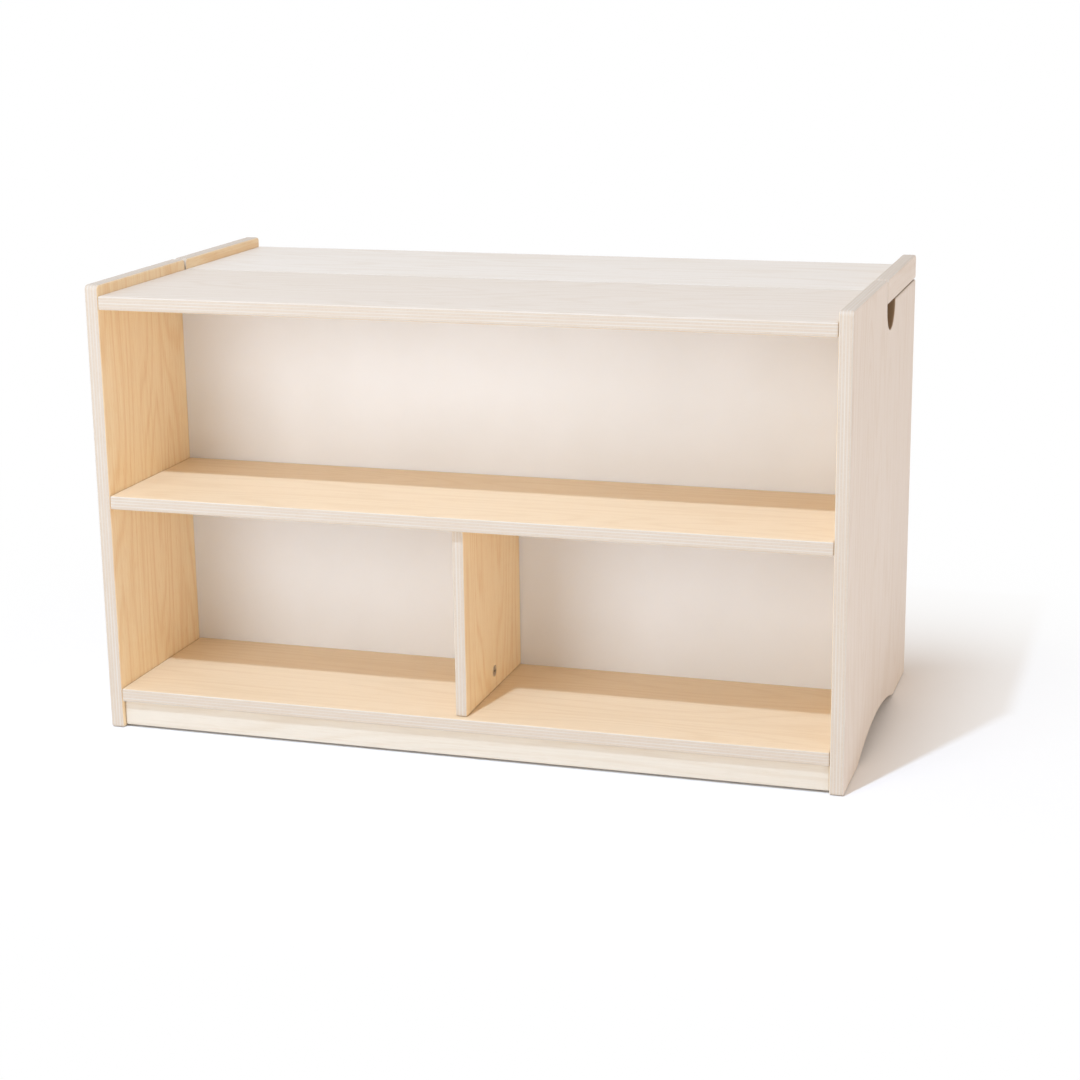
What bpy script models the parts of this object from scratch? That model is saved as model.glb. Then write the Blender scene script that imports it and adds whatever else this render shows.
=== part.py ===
"""Toy shelf: open shelves at the front, a storage well under a hinged lid at the rear.

Metres, +X to the viewer's right, +Y to the rear, +Z up. The origin lies on the floor, at the
centre of the footprint of the whole part, hinge knuckles included.
"""

import math

import bmesh
import bpy
from mathutils import Matrix, Vector

# Case: outside sizes, boards and the heights and depths that place them
WIDTH = 0.9906
CASE_DEPTH = 0.508
HEIGHT = 0.5969
BOARD = 0.018
DIVIDER_BOARD = 0.015
CENTER_BOARD = 0.006
BOTTOM_HEIGHT = 0.037
LOWER_OPENING = 0.247
LIP = 0.014
SHELF_DEPTH = 0.2413
TOP_DEPTH = 0.257
DIVIDER_SETBACK = 0.010
KICK_SETBACK = 0.007
KICK_FLOOR_GAP = 0.0025
GROOVE_DEPTH = 0.004

# Rounded edges and the outline of the side panels
EDGE_ROUND = 0.002
CORNER_RADIUS = 0.006
FOOT_RADIUS = 0.004
FOOT_LENGTH = 0.097
ARCH_RISE = 0.0225
ARCH_EASE = 0.060
NOTCH_RADIUS = 0.034

# Lid and its hinges
SEAM_GAP = 0.003
LID_GAP = 0.0018
LID_OPEN_DEGREES = 85
HINGES = ("left", "middle", "right")
HINGE_END_MARGIN = 0.147
HINGE_LENGTH = 0.064
LEAF_DEPTH = 0.015
LEAF_THICKNESS = 0.0012
KNUCKLE_RADIUS = 0.00275
KNUCKLE_COUNT = 5
HINGE_PIN_RADIUS = 0.0014
BUMPER_RADIUS = 0.005
BUMPER_FROM_REAR = 0.110

# Lid stays: a rod hung from the lid slides through a brake that turns on the side panel
STAY_ARM = 0.130
STAY_LID_DEGREES = 5
STAY_BASE_DEGREES = 35
STAY_INSET = 0.0156
STAY_PLATE = 0.003
ROD_RADIUS = 0.003
ROD_TAIL = 0.016
ROD_STOP_RADIUS = 0.005
ROD_STOP_LENGTH = 0.003
EYE_RADIUS = 0.006
EYE_WIDTH = 0.007
PIVOT_RADIUS = 0.0025
PIVOT_HEAD_RADIUS = 0.004
PIVOT_HEAD = 0.0015
BRAKE_SIZE = 0.018
BRAKE_INNER_WALL = 0.005
STUD_RADIUS = 0.003
STUD_WALL = 0.002
BASE_LENGTH = 0.050
BASE_WIDTH = 0.028
BRACKET_LENGTH = 0.034
BRACKET_FLANGE = 0.009
BRACKET_SHEET = 0.002
EAR_RADIUS = 0.007
METAL_ROUND = 0.001

# Cam locks and their bolts
CAM_RADIUS = 0.0075
CAM_DEPTH = 0.0125
CAM_INSET = 0.026
CAM_MARGIN = 0.050
CAM_SLOT_LENGTH = 0.009
CAM_SLOT_WIDTH = 0.0016
CAM_SLOT_DEPTH = 0.0015
BOLT_RADIUS = 0.0032
BOLT_HEAD = 0.003
BOLT_NECK_RADIUS = 0.002
BOLT_NECK = 0.004
THREAD_RADIUS = 0.0025
THREAD_LENGTH = 0.011

# Clearance between faces that rest on each other, and between a pin and its bore
GAP = 0.0003

# How far a cutter stands past the face that it cuts
PAST = 0.002

# Fineness of the meshes: sides of round pieces, steps of arcs, edges that count as sharp or flat
SMALL_SIDES = 12
CAM_SIDES = 20
CORNER_STEPS = 4
CURVE_STEPS = 16
EDGE_SEGMENTS = 2
SHARP_ANGLE = math.radians(40)
FLAT_ANGLE = math.radians(0.2)
WELD = 0.00001

# Planes worked out from the sizes above
OVERALL_DEPTH = CASE_DEPTH + GAP + 2 * KNUCKLE_RADIUS
FRONT = -OVERALL_DEPTH / 2
REAR = FRONT + CASE_DEPTH
INNER = WIDTH / 2 - BOARD
BETWEEN = INNER - GAP
TOP_TOP = HEIGHT - LIP
TOP_UNDER = TOP_TOP - BOARD
BOTTOM_TOP = BOTTOM_HEIGHT + BOARD
MIDDLE_UNDER = BOTTOM_TOP + LOWER_OPENING
CENTER_FRONT = FRONT + SHELF_DEPTH
CENTER_REAR = CENTER_FRONT + CENTER_BOARD
TOP_REAR = FRONT + TOP_DEPTH
LID_FRONT = TOP_REAR + SEAM_GAP
LEDGE = TOP_UNDER - LID_GAP
BACK_FRONT = REAR - BOARD
DIVIDER_FRONT = FRONT + DIVIDER_SETBACK
DIVIDER_MIDDLE = (DIVIDER_FRONT + CENTER_FRONT) / 2
AXIS_Y = REAR + GAP + KNUCKLE_RADIUS
AXIS_Z = TOP_UNDER - LID_GAP / 2
HINGE_AXIS = Vector((0, AXIS_Y, AXIS_Z))

# The lid pivot and the brake pivot lie at one distance from the hinge axis, so the rod turns
# half as far as the lid and always points through the brake
ROD_TILT = math.radians((STAY_LID_DEGREES + STAY_BASE_DEGREES) / 2)
OPEN_SPREAD = math.radians(STAY_BASE_DEGREES - STAY_LID_DEGREES + LID_OPEN_DEGREES)
ROD_LENGTH = 2 * STAY_ARM * math.sin(OPEN_SPREAD / 2) + ROD_TAIL
STAY_X = INNER - STAY_INSET
BRAKE_OUTER = INNER - STAY_PLATE - 2 * GAP

TURN_TO = {
    "X": Matrix.Rotation(math.pi / 2, 4, "Y"),
    "Z": Matrix.Identity(4),
}

SIDES = (("left", -1), ("right", 1))

# Where a shape is drawn about its piece's own origin instead of in the object's frame
OWN_ORIGIN = (0, 0, 0)


def clear_scene():
    for obj in list(bpy.data.objects):
        bpy.data.objects.remove(obj)


def new_collection(name):
    collection = bpy.data.collections.new(name)
    bpy.context.scene.collection.children.link(collection)
    return collection


def finish(name, colour, roughness, metallic=0.0):
    material = bpy.data.materials.new(name)
    material.use_nodes = True
    shader = material.node_tree.nodes["Principled BSDF"]
    shader.inputs["Base Color"].default_value = (*colour, 1)
    shader.inputs["Roughness"].default_value = roughness
    shader.inputs["Metallic"].default_value = metallic
    return material


clear_scene()
PARTS = new_collection("toy_shelf")
CUTTERS = new_collection("cutters")
BIRCH = finish("birch_plywood", (0.80, 0.62, 0.43), 0.45)
WHITE = finish("white_panel", (0.86, 0.86, 0.85), 0.40)
ZINC = finish("zinc_plate", (0.62, 0.62, 0.60), 0.35, 1.0)
NICKEL = finish("nickel_plate", (0.70, 0.69, 0.66), 0.25, 1.0)
BRAKE_PLASTIC = finish("brake_plastic", (0.08, 0.08, 0.08), 0.5)
FELT = finish("felt", (0.55, 0.50, 0.44), 0.95)


# Shapes, drawn in the object's own frame


def add_box(shape, low, high):
    """Adds a box between two corners, in any order of the signs."""
    low, high = Vector(low), Vector(high)
    size = Vector(abs(b - a) for a, b in zip(low, high))
    middle = Matrix.Translation((low + high) / 2)
    bmesh.ops.create_cube(shape, size=1, matrix=middle @ Matrix.Diagonal((*size, 1)))


def add_rod(shape, axis, radius, start, end, sides=SMALL_SIDES):
    """Adds a closed cylinder along X or Z between two points."""
    start, end = Vector(start), Vector(end)
    middle = Matrix.Translation((start + end) / 2)
    bmesh.ops.create_cone(
        shape, cap_ends=True, segments=sides, radius1=radius, radius2=radius,
        depth=(end - start).length, matrix=middle @ TURN_TO[axis],
    )


def arc(centre, radius, start, end, steps):
    """Points on an arc between two angles in degrees."""
    angles = [math.radians(start + (end - start) * i / steps) for i in range(steps + 1)]
    return [(centre[0] + radius * math.cos(a), centre[1] + radius * math.sin(a)) for a in angles]


def mesh_of(name, shape, origin):
    bmesh.ops.translate(shape, vec=-Vector(origin), verts=shape.verts)
    bmesh.ops.recalc_face_normals(shape, faces=shape.faces)
    mesh = bpy.data.meshes.new(name)
    shape.to_mesh(mesh)
    shape.free()
    return mesh


def place(name, mesh, origin, collection, parent=None):
    """Puts a mesh in the scene with its origin at a point of the object's frame."""
    obj = bpy.data.objects.new(name, mesh)
    collection.objects.link(obj)
    obj.parent = parent
    obj.location = Vector(origin) - (parent.location if parent else Vector())
    return obj


def piece(name, shape, origin, material, parent=None):
    obj = place(name, mesh_of(name, shape, origin), origin, PARTS, parent)
    obj.data.materials.append(material)
    return obj


def boolean(obj, label, operation, shape, origin):
    """Changes a piece by a shape, which hangs on the piece and so moves with it."""
    if origin is None:
        origin = obj.location + (obj.parent.location if obj.parent else Vector())
    name = f"{obj.name}_{label}"
    tool = bpy.data.objects.new(name, mesh_of(name, shape, origin))
    CUTTERS.objects.link(tool)
    tool.parent = obj
    tool.hide_render = True
    tool.display_type = "WIRE"
    modifier = obj.modifiers.new(label, "BOOLEAN")
    modifier.operation = operation
    modifier.object = tool


def cut(obj, label, shape, origin=None):
    boolean(obj, label, "DIFFERENCE", shape, origin)


def join(obj, label, shape, origin=None):
    boolean(obj, label, "UNION", shape, origin)


def round_edges(obj, width=EDGE_ROUND):
    bevel = obj.modifiers.new("rounded_edges", "BEVEL")
    bevel.width = width
    bevel.segments = EDGE_SEGMENTS
    bevel.limit_method = "ANGLE"
    bevel.angle_limit = SHARP_ANGLE
    bevel.use_clamp_overlap = False


def shade_round(obj):
    obj.data.shade_smooth()
    obj.data.set_sharp_from_angle(angle=SHARP_ANGLE)


def board(name, low, high, material=BIRCH, parent=None):
    """A flat board between two corners, with its edges eased."""
    shape = bmesh.new()
    add_box(shape, low, high)
    obj = piece(name, shape, (Vector(low) + Vector(high)) / 2, material, parent)
    round_edges(obj)
    return obj


def outline_piece(name, points, thickness, origin, material, parent=None):
    """A flat outline in YZ, given about the origin, thickened along X about it."""
    curve = bpy.data.curves.new(name, "CURVE")
    curve.dimensions = "2D"
    curve.fill_mode = "BOTH"
    curve.extrude = thickness / 2
    spline = curve.splines.new("POLY")
    spline.points.add(len(points) - 1)
    for point, (y, z) in zip(spline.points, points):
        point.co = (y, z, 0, 1)
    spline.use_cyclic_u = True
    guide = place(name + "_outline", curve, OWN_ORIGIN, CUTTERS)
    graph = bpy.context.evaluated_depsgraph_get()
    flat = bpy.data.meshes.new_from_object(guide.evaluated_get(graph))
    bpy.data.objects.remove(guide)
    shape = bmesh.new()
    shape.from_mesh(flat)
    bpy.data.meshes.remove(flat)
    bmesh.ops.remove_doubles(shape, verts=shape.verts, dist=WELD)
    bmesh.ops.dissolve_limit(
        shape, angle_limit=FLAT_ANGLE, verts=shape.verts, edges=shape.edges
    )
    # The outline lies in XY: its X goes to Y, its Y to Z and its thickness to X
    turn = Matrix(((0, 0, 1), (1, 0, 0), (0, 1, 0)))
    bmesh.ops.rotate(shape, cent=(0, 0, 0), matrix=turn, verts=shape.verts)
    obj = place(name, mesh_of(name, shape, OWN_ORIGIN), origin, PARTS, parent)
    obj.data.materials.append(material)
    shade_round(obj)
    return obj


# Side panels


def arch_outline():
    """The low arch between the feet, from the rear foot to the front foot, with eased ends."""
    middle = (FRONT + REAR) / 2
    half_span = CASE_DEPTH / 2 - FOOT_LENGTH
    reach = (half_span**2 + ARCH_RISE**2) / (2 * ARCH_RISE)
    radius = reach - ARCH_EASE
    lean = math.degrees(math.asin(half_span / reach))
    rear = arc((middle + half_span, ARCH_EASE), ARCH_EASE, 270, 270 - lean, CORNER_STEPS)
    crown = arc((middle, ARCH_RISE - radius), radius, 90 - lean, 90 + lean, CURVE_STEPS)
    front = arc((middle - half_span, ARCH_EASE), ARCH_EASE, 270 + lean, 270, CORNER_STEPS)
    return rear + crown[1:-1] + front


def side_outline():
    """The side panel from the front foot, up and over the lip, the notch, the ledge and down."""
    corner, foot = CORNER_RADIUS, FOOT_RADIUS
    points = arc((FRONT + foot, foot), foot, 270, 180, CORNER_STEPS)
    points += arc((FRONT + corner, HEIGHT - corner), corner, 180, 90, CORNER_STEPS)
    points += arc((TOP_REAR - corner, HEIGHT - corner), corner, 90, 0, CORNER_STEPS)
    points += arc((TOP_REAR + NOTCH_RADIUS, LEDGE), NOTCH_RADIUS, 180, 360, CURVE_STEPS)
    points += [(REAR, LEDGE)]
    points += arc((REAR - foot, foot), foot, 0, -90, CORNER_STEPS)
    return points + arch_outline()


def side_panel(side, sign):
    panel = outline_piece(
        f"{side}_side_panel", side_outline(), BOARD, (sign * (WIDTH - BOARD) / 2, 0, 0), BIRCH
    )
    round_edges(panel)
    groove = bmesh.new()
    add_box(
        groove,
        (sign * (INNER - PAST), CENTER_FRONT - GAP, BOTTOM_TOP - GROOVE_DEPTH),
        (sign * (INNER + GROOVE_DEPTH), CENTER_REAR + GAP, TOP_UNDER + GROOVE_DEPTH),
    )
    cut(panel, "groove", groove)
    holes = bmesh.new()
    for y, z in side_bolts():
        start = (sign * (INNER - PAST), y, z)
        end = (sign * (INNER + THREAD_LENGTH + GAP), y, z)
        add_rod(holes, "X", THREAD_RADIUS + GAP, start, end)
    cut(panel, "bolt_holes", holes)


# Shelves, panels and kickboard


# Underside and rear edge of each shelf, and the upright panel that its rear bolts keep away from
SHELVES = {
    "top_panel": (TOP_UNDER, TOP_REAR, CENTER_FRONT),
    "middle_shelf": (MIDDLE_UNDER, CENTER_FRONT - GAP, CENTER_FRONT),
    "bottom_panel": (BOTTOM_HEIGHT, BACK_FRONT - GAP, BACK_FRONT),
}


def shelf_bolts(name):
    """Depth and height of the two bolts at each end of a shelf."""
    under, _, upright = SHELVES[name]
    z = under + BOARD / 2
    return [(FRONT + CAM_MARGIN, z), (upright - CAM_MARGIN, z)]


def side_bolts():
    return [bolt for name in SHELVES for bolt in shelf_bolts(name)]


def shelf(name):
    """A shelf between the side panels, with cam pockets below and bolt bores in its ends."""
    under, rear, _ = SHELVES[name]
    obj = board(name, (-BETWEEN, FRONT, under), (BETWEEN, rear, under + BOARD))
    pockets = bmesh.new()
    bores = bmesh.new()
    for y, z in shelf_bolts(name):
        for _, sign in SIDES:
            x = sign * (BETWEEN - CAM_INSET)
            top = (x, y, under + CAM_DEPTH + GAP)
            add_rod(pockets, "Z", CAM_RADIUS + GAP, (x, y, under - PAST), top, CAM_SIDES)
            mouth = (sign * (BETWEEN + PAST), y, z)
            add_rod(bores, "X", BOLT_RADIUS + GAP, (x, y, z), mouth)
    cut(obj, "cam_pockets", pockets)
    cut(obj, "bolt_bores", bores)
    return obj


def center_groove(obj, low, high):
    """Cuts the groove for the centre panel across a shelf, between two heights."""
    groove = bmesh.new()
    reach = BETWEEN + PAST
    add_box(groove, (-reach, CENTER_FRONT - GAP, low), (reach, CENTER_REAR + GAP, high))
    cut(obj, "groove", groove)


def case():
    for side, sign in SIDES:
        side_panel(side, sign)
    center_groove(shelf("top_panel"), TOP_UNDER - PAST, TOP_UNDER + GROOVE_DEPTH)
    shelf("middle_shelf")
    bottom = shelf("bottom_panel")
    center_groove(bottom, BOTTOM_TOP - GROOVE_DEPTH, BOTTOM_TOP + PAST)
    hole = bmesh.new()
    depth = (0, DIVIDER_MIDDLE, BOTTOM_TOP - THREAD_LENGTH - GAP)
    add_rod(hole, "Z", THREAD_RADIUS + GAP, depth, (0, DIVIDER_MIDDLE, BOTTOM_TOP + PAST))
    cut(bottom, "divider_bolt_hole", hole)

    in_groove = GROOVE_DEPTH - GAP
    board(
        "center_panel",
        (-INNER - in_groove, CENTER_FRONT, BOTTOM_TOP - in_groove),
        (INNER + in_groove, CENTER_REAR, TOP_UNDER + in_groove),
        WHITE,
    )
    board(
        "front_kickboard",
        (-BETWEEN, FRONT + KICK_SETBACK, KICK_FLOOR_GAP),
        (BETWEEN, FRONT + KICK_SETBACK + BOARD, BOTTOM_HEIGHT - GAP),
    )
    back = board(
        "back_panel", (-BETWEEN, BACK_FRONT, KICK_FLOOR_GAP), (BETWEEN, REAR, LEDGE)
    )
    cut(back, "hinge_gains", hinge_gains(-1))
    divider()


def divider():
    """The upright between the lower openings, with one cam pocket in its right face."""
    half = DIVIDER_BOARD / 2
    foot = BOTTOM_TOP + GAP
    obj = board(
        "shelf_divider",
        (-half, DIVIDER_FRONT, foot),
        (half, CENTER_FRONT - GAP, MIDDLE_UNDER - GAP),
    )
    z = foot + CAM_INSET
    pocket = bmesh.new()
    floor = (half - CAM_DEPTH - GAP, DIVIDER_MIDDLE, z)
    mouth = (half + PAST, DIVIDER_MIDDLE, z)
    add_rod(pocket, "X", CAM_RADIUS + GAP, floor, mouth, CAM_SIDES)
    cut(obj, "cam_pocket", pocket)
    bore = bmesh.new()
    add_rod(bore, "Z", BOLT_RADIUS + GAP, (0, DIVIDER_MIDDLE, foot - PAST), (0, DIVIDER_MIDDLE, z))
    cut(obj, "bolt_bore", bore)


# Cam locks and bolts


def cam_lock(name, origin, bolt_depth, turn):
    """A round cam whose face looks along its own +Z, with a mouth for the bolt head at +X."""
    shape = bmesh.new()
    add_rod(shape, "Z", CAM_RADIUS, (0, 0, -CAM_DEPTH), (0, 0, 0), CAM_SIDES)
    cam = place(name, mesh_of(name, shape, OWN_ORIGIN), origin, PARTS)
    cam.data.materials.append(ZINC)
    cam.rotation_euler = turn.to_euler()
    shade_round(cam)
    room = BOLT_RADIUS + GAP
    mouth = bmesh.new()
    low = (-BOLT_HEAD - GAP, -room, -bolt_depth - room)
    add_box(mouth, low, (CAM_RADIUS + PAST, room, -bolt_depth + room))
    cut(cam, "mouth", mouth, OWN_ORIGIN)
    slot = bmesh.new()
    half_length, half_width = CAM_SLOT_LENGTH / 2, CAM_SLOT_WIDTH / 2
    add_box(slot, (-half_length, -half_width, -CAM_SLOT_DEPTH), (half_length, half_width, PAST))
    cut(cam, "driver_slot", slot, OWN_ORIGIN)


def cam_bolt(name, origin, turn):
    """A turned bolt along its own +Z, from its head in the cam to its thread in the panel."""
    end = CAM_INSET + GAP
    profile = [
        (0, end + THREAD_LENGTH),
        (THREAD_RADIUS, end + THREAD_LENGTH),
        (THREAD_RADIUS, end - THREAD_RADIUS),
        (BOLT_RADIUS, end - THREAD_RADIUS),
        (BOLT_RADIUS, BOLT_NECK),
        (BOLT_NECK_RADIUS, BOLT_NECK),
        (BOLT_NECK_RADIUS, 0),
        (BOLT_RADIUS, 0),
        (BOLT_RADIUS, -BOLT_HEAD),
        (0, -BOLT_HEAD),
    ]
    mesh = bpy.data.meshes.new(name)
    lines = [(i, i + 1) for i in range(len(profile) - 1)]
    mesh.from_pydata([(x, 0, z) for x, z in profile], lines, [])
    bolt = place(name, mesh, origin, PARTS)
    bolt.data.materials.append(ZINC)
    bolt.rotation_euler = turn.to_euler()
    screw = bolt.modifiers.new("turned", "SCREW")
    screw.steps = SMALL_SIDES
    screw.render_steps = SMALL_SIDES
    screw.use_merge_vertices = True
    screw.merge_threshold = WELD
    screw.use_smooth_shade = False


def fasteners():
    down = Matrix.Rotation(math.pi, 3, "X")
    for shelf_name in SHELVES:
        under = SHELVES[shelf_name][0]
        for end, (y, z) in zip(("front", "rear"), shelf_bolts(shelf_name)):
            for side, sign in SIDES:
                x = sign * (BETWEEN - CAM_INSET)
                outward = Matrix.Rotation(0 if sign > 0 else math.pi, 3, "Z")
                label = f"{shelf_name}_{side}_{end}"
                cam_lock(f"{label}_cam", (x, y, under), BOARD / 2, outward @ down)
                along = Matrix.Rotation(sign * math.pi / 2, 3, "Y")
                cam_bolt(f"{label}_bolt", (x, y, z), along)
    z = BOTTOM_TOP + GAP + CAM_INSET
    face_right = Matrix(((0, 0, 1), (0, 1, 0), (-1, 0, 0)))
    cam_lock("divider_cam", (DIVIDER_BOARD / 2, DIVIDER_MIDDLE, z), DIVIDER_BOARD / 2, face_right)
    cam_bolt("divider_bolt", (0, DIVIDER_MIDDLE, z), Matrix.Rotation(math.pi, 3, "X"))


# Lid


def lid(axis):
    panel = board(
        "lid_panel", (-BETWEEN, LID_FRONT, TOP_UNDER), (BETWEEN, REAR, TOP_TOP), BIRCH, axis
    )
    cut(panel, "hinge_gains", hinge_gains(1))
    corner = CORNER_RADIUS
    outline = [(LID_FRONT, TOP_UNDER)]
    outline += arc((LID_FRONT + corner, HEIGHT - corner), corner, 180, 90, CORNER_STEPS)
    outline += arc((REAR - corner, HEIGHT - corner), corner, 90, 0, CORNER_STEPS)
    outline += [(REAR, TOP_UNDER)]
    for side, sign in SIDES:
        x = sign * (WIDTH - BOARD) / 2
        about_axis = [(y - AXIS_Y, z - AXIS_Z) for y, z in outline]
        strip = outline_piece(
            f"lid_end_{side}", about_axis, BOARD, (x, AXIS_Y, AXIS_Z), BIRCH, axis
        )
        round_edges(strip)
        bumper(side, x)


def bumper(side, x):
    """A felt dot on the ledge, which the lid's end strip comes down on."""
    shape = bmesh.new()
    y = REAR - BUMPER_FROM_REAR
    low, high = (x, y, LEDGE + GAP), (x, y, TOP_UNDER - GAP)
    add_rod(shape, "Z", BUMPER_RADIUS, low, high, CAM_SIDES)
    shade_round(piece(f"bumper_{side}", shape, low, FELT))


# Hinges


def hinge_places():
    """Where each hinge sits along the lid, evenly between the outer two."""
    outer = BETWEEN - HINGE_END_MARGIN
    spacing = 2 * outer / (len(HINGES) - 1)
    return [i * spacing - outer for i in range(len(HINGES))]


def hinge_gains(up):
    """Shallow seats for the leaves, in the lid's underside or in the back panel's top edge."""
    shape = bmesh.new()
    seat = AXIS_Z + up * (GAP / 2 + LEAF_THICKNESS + GAP)
    half = HINGE_LENGTH / 2 + GAP
    for x in hinge_places():
        low = (x - half, REAR - LEAF_DEPTH - GAP, AXIS_Z - up * PAST)
        add_box(shape, low, (x + half, REAR + PAST, seat))
    return shape


def leaf_outline(up):
    """Leaf and knuckle in section about the pin: the flat leaf runs on into the knuckle."""
    near, far = GAP / 2, GAP / 2 + LEAF_THICKNESS
    near_angle = 180 - math.degrees(math.asin(near / KNUCKLE_RADIUS))
    far_angle = 180 - math.degrees(math.asin(far / KNUCKLE_RADIUS))
    end = REAR - LEAF_DEPTH - AXIS_Y
    knuckle = arc((0, 0), KNUCKLE_RADIUS, near_angle, far_angle + 360, CURVE_STEPS)
    points = [(end, near), *knuckle, (end, far)]
    return [(y, up * z) for y, z in points]


def hinge_leaf(name, x, up, first_knuckle, parent):
    """One leaf: every second knuckle is cut away for the other leaf's knuckles."""
    origin = (x, AXIS_Y, AXIS_Z)
    leaf = outline_piece(name, leaf_outline(up), HINGE_LENGTH, origin, NICKEL, parent)
    step = HINGE_LENGTH / KNUCKLE_COUNT
    reach = KNUCKLE_RADIUS + PAST
    gaps = bmesh.new()
    for i in range(1 - first_knuckle, KNUCKLE_COUNT, 2):
        start = x - HINGE_LENGTH / 2 + i * step
        low = start - (PAST if i == 0 else GAP / 2)
        high = start + step + (PAST if i == KNUCKLE_COUNT - 1 else GAP / 2)
        add_box(gaps, (low, REAR, AXIS_Z - reach), (high, AXIS_Y + reach, AXIS_Z + reach))
    cut(leaf, "knuckle_gaps", gaps)
    bore = bmesh.new()
    reach = HINGE_LENGTH / 2 + PAST
    start, end = (x - reach, AXIS_Y, AXIS_Z), (x + reach, AXIS_Y, AXIS_Z)
    add_rod(bore, "X", HINGE_PIN_RADIUS + GAP, start, end)
    cut(leaf, "pin_bore", bore)


def hinges(axis):
    for x, label in zip(hinge_places(), HINGES):
        hinge_leaf(f"hinge_{label}_back_leaf", x, -1, 0, None)
        hinge_leaf(f"hinge_{label}_lid_leaf", x, 1, 1, axis)
        half = HINGE_LENGTH / 2
        shape = bmesh.new()
        start, end = (x - half, AXIS_Y, AXIS_Z), (x + half, AXIS_Y, AXIS_Z)
        add_rod(shape, "X", HINGE_PIN_RADIUS, start, end)
        shade_round(piece(f"hinge_{label}_pin", shape, (x, AXIS_Y, AXIS_Z), NICKEL))


# Lid stays


def stay_point(degrees):
    """A pivot of the stays in YZ, at an angle below the closed lid, seen from the hinge axis."""
    angle = math.radians(degrees)
    return AXIS_Y - STAY_ARM * math.cos(angle), AXIS_Z - STAY_ARM * math.sin(angle)


def stay_bracket(side, sign, axis):
    """A plate under the lid, with an ear at the outer side and a headed pivot for the rod."""
    y, z = stay_point(STAY_LID_DEGREES)
    high = TOP_UNDER - GAP
    ear_inner = STAY_X + EYE_WIDTH / 2 + GAP
    ear_outer = ear_inner + BRACKET_SHEET
    shape = bmesh.new()
    half = BRACKET_LENGTH / 2
    low_corner = (sign * (ear_inner - BRACKET_FLANGE), y - half, high - BRACKET_SHEET)
    add_box(shape, low_corner, (sign * (ear_outer + BRACKET_FLANGE / 2), y + half, high))
    bracket = piece(f"stay_bracket_{side}", shape, (sign * STAY_X, y, z), NICKEL, axis)
    ear = bmesh.new()
    tip = (sign * ear_inner, y - EAR_RADIUS, z - EAR_RADIUS)
    add_box(ear, tip, (sign * ear_outer, y + EAR_RADIUS, high - BRACKET_SHEET / 2))
    join(bracket, "ear", ear)
    head_outer = STAY_X - EYE_WIDTH / 2 - GAP
    head_inner = head_outer - PIVOT_HEAD
    pivot = bmesh.new()
    start = (sign * (head_inner + PIVOT_HEAD / 2), y, z)
    add_rod(pivot, "X", PIVOT_RADIUS, start, (sign * (ear_inner + BRACKET_SHEET / 2), y, z))
    join(bracket, "pivot", pivot)
    head = bmesh.new()
    add_rod(head, "X", PIVOT_HEAD_RADIUS, (sign * head_inner, y, z), (sign * head_outer, y, z))
    join(bracket, "pivot_head", head)


def turned_piece(name, shape, origin, material, parent=None):
    """A piece of the stay, drawn about its pivot with the rod along -Z, then tilted with it."""
    obj = place(name, mesh_of(name, shape, OWN_ORIGIN), origin, PARTS, parent)
    obj.data.materials.append(material)
    obj.rotation_euler = (ROD_TILT, 0, 0)
    return obj


def stay_rod(side, sign, axis):
    y, z = stay_point(STAY_LID_DEGREES)
    half = EYE_WIDTH / 2
    shape = bmesh.new()
    add_rod(shape, "Z", ROD_RADIUS, (0, 0, -ROD_LENGTH), (0, 0, -EYE_RADIUS / 2))
    rod = turned_piece(f"stay_rod_{side}", shape, (sign * STAY_X, y, z), NICKEL, axis)
    shade_round(rod)
    eye = bmesh.new()
    add_rod(eye, "X", EYE_RADIUS, (-half, 0, 0), (half, 0, 0), CURVE_STEPS)
    join(rod, "eye", eye, OWN_ORIGIN)
    stop = bmesh.new()
    stop_top = ROD_STOP_LENGTH - ROD_LENGTH
    add_rod(stop, "Z", ROD_STOP_RADIUS, (0, 0, -ROD_LENGTH - ROD_STOP_LENGTH / 2), (0, 0, stop_top))
    join(rod, "end_stop", stop, OWN_ORIGIN)
    bore = bmesh.new()
    reach = half + PAST
    add_rod(bore, "X", PIVOT_RADIUS + GAP, (-reach, 0, 0), (reach, 0, 0))
    cut(rod, "eye_bore", bore, OWN_ORIGIN)


def stay_brake(side, sign):
    """The block that grips the rod and turns on a stud of the base plate."""
    y, z = stay_point(STAY_BASE_DEGREES)
    half = BRAKE_SIZE / 2
    outer = sign * (BRAKE_OUTER - STAY_X)
    inner = -sign * (ROD_RADIUS + GAP + BRAKE_INNER_WALL)
    shape = bmesh.new()
    add_box(shape, (inner, -half, -half), (outer, half, half))
    brake = turned_piece(f"stay_brake_{side}", shape, (sign * STAY_X, y, z), BRAKE_PLASTIC)
    round_edges(brake, METAL_ROUND)
    bore = bmesh.new()
    reach = half + PAST
    add_rod(bore, "Z", ROD_RADIUS + GAP, (0, 0, -reach), (0, 0, reach))
    cut(brake, "rod_bore", bore, OWN_ORIGIN)
    stud_bore = bmesh.new()
    end = sign * (ROD_RADIUS + STUD_WALL)
    add_rod(stud_bore, "X", STUD_RADIUS + GAP, (end, 0, 0), (outer + sign * PAST, 0, 0))
    cut(brake, "stud_bore", stud_bore, OWN_ORIGIN)


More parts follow.
